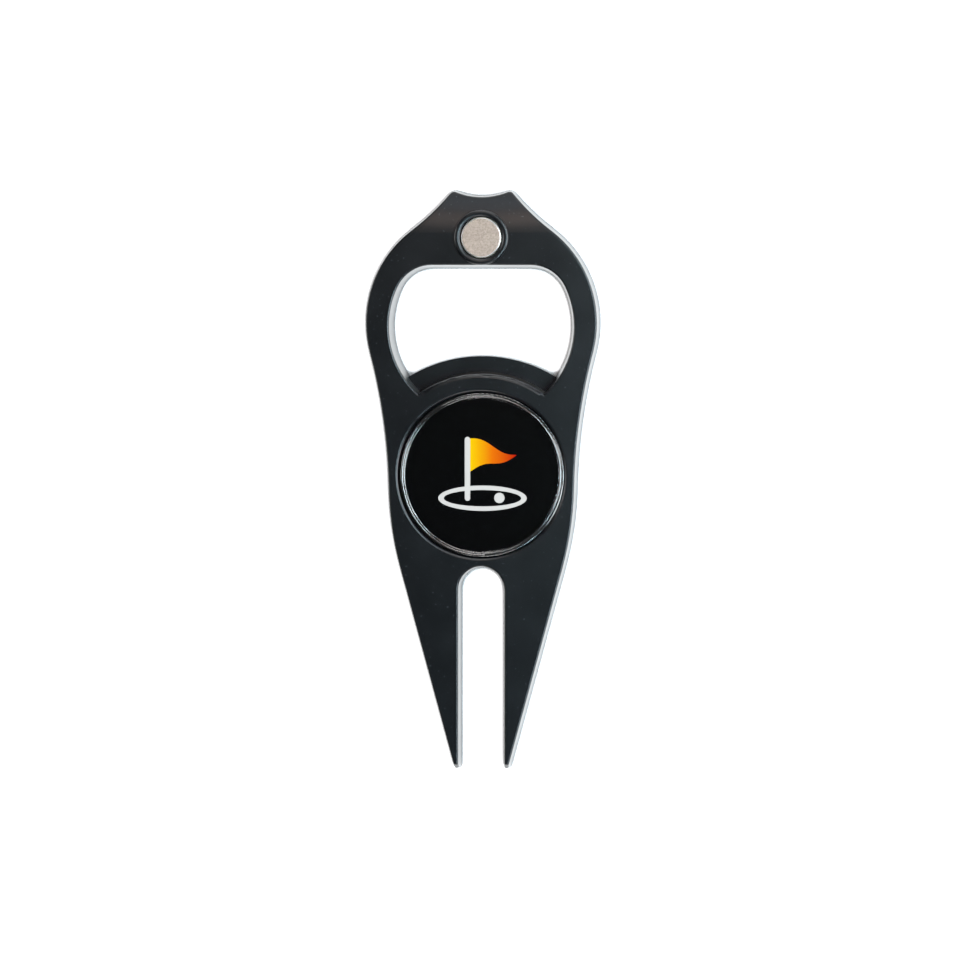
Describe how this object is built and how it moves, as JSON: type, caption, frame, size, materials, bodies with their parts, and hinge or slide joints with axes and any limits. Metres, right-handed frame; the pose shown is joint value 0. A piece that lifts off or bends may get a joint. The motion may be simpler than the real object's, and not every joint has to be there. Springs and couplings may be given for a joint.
{
  "type": "divot repair tool",
  "caption": "Flat two-pronged golf divot repair tool with a bottle opener, a cap magnet, a club grip rest and a round ball marker that lifts off its magnet.",
  "frame": {"origin": "centre of the flat back face that the tool lies on, halfway along its length and width", "axes": "+Z out of the front face that carries the ball marker, +Y from the prongs towards the grip rest, X across the width, with X = 0 as the plane of symmetry"},
  "size_m": [0.0362, 0.0891, 0.0055],
  "materials": {
    "body_coating": "satin black coating on zinc die casting, with a faint cast texture",
    "magnet_plating": "nickel plated, slightly grainy",
    "glue": "set epoxy",
    "marker_steel": "bright nickel plated steel",
    "marker_print": "printed film, black with a small golf flag",
    "clear_resin": "clear cast resin, glossy"
  },
  "bodies": {
    "tool": {"tool_body": "body_coating", "cap_magnet": "magnet_plating", "cap_magnet_glue": "glue", "marker_magnet": "magnet_plating", "marker_magnet_glue": "glue"},
    "marker": {"marker_cup": "marker_steel", "marker_label": "marker_print", "marker_dome": "clear_resin"}
  },
  "joints": [
    {"name": "marker_lift", "type": "slide", "parent": "tool", "child": "marker", "axis": [0, 0, 1], "range_m": [0, 0.02]}
  ]
}
